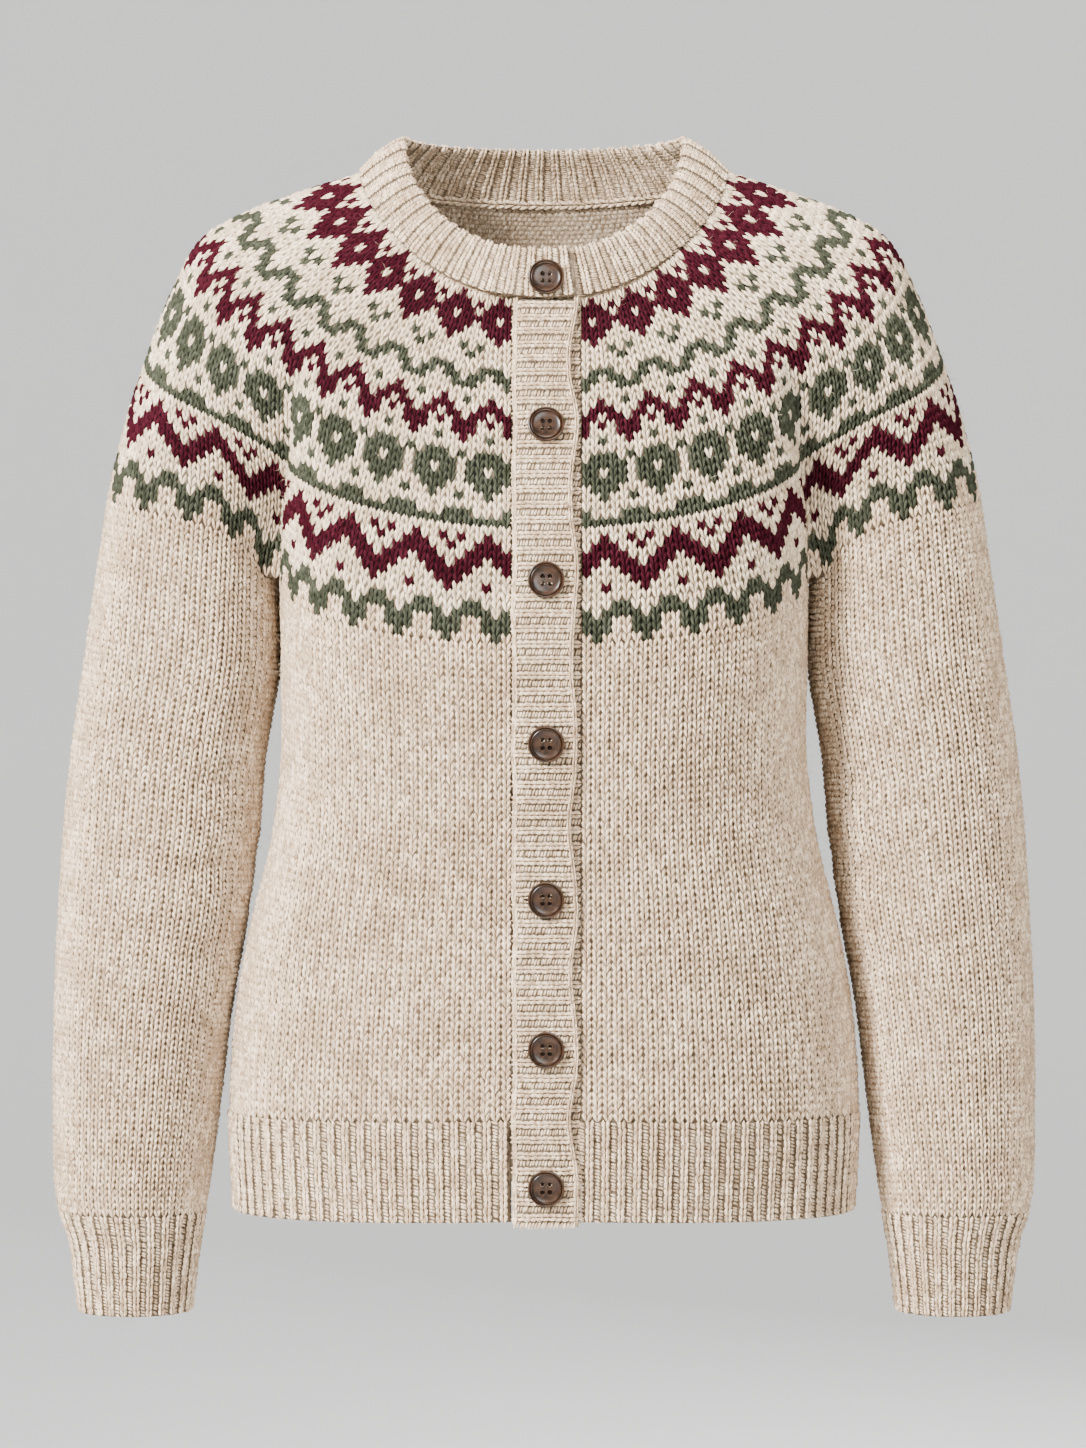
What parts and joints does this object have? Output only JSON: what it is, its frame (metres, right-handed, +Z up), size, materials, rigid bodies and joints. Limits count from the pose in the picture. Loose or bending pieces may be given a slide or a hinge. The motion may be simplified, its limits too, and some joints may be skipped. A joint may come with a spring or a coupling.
{
  "type": "fair isle cardigan",
  "caption": "Long-sleeved button-front knitted cardigan with a colourwork round yoke and ribbed neckband, front bands, hem and cuffs, worn on the upper body.",
  "frame": {"origin": "midway between the shoulders at the height of the neck seam's sides, where a wearer's shoulders hold the cardigan", "axes": "+Z up; the front faces -Y; +X is the wearer's left"},
  "size_m": [0.5592, 0.2329, 0.6689],
  "materials": {
    "oatmeal_knit": "soft heathered wool, stocking stitch, matt with a light fuzz",
    "oatmeal_rib": "soft heathered wool, one-by-one rib, matt with a light fuzz",
    "colourwork_knit": "stranded wool in burgundy and sage green on cream, matt",
    "horn_button": "mottled brown horn look, polished rim"
  },
  "bodies": {
    "root": {"yoke": "colourwork_knit", "front_right": "oatmeal_knit", "front_left": "oatmeal_knit", "back": "oatmeal_knit", "sleeve_right": "oatmeal_knit", "sleeve_left": "oatmeal_knit", "hem_right": "oatmeal_rib", "hem_back": "oatmeal_rib", "hem_left": "oatmeal_rib", "cuff_right": "oatmeal_rib", "cuff_left": "oatmeal_rib", "neckband": "oatmeal_rib", "buttonhole_band": "oatmeal_rib", "button_band": "oatmeal_rib", "button_1": "horn_button", "button_2": "horn_button", "button_3": "horn_button", "button_4": "horn_button", "button_5": "horn_button", "button_6": "horn_button", "button_7": "horn_button"}
  },
  "joints": []
}
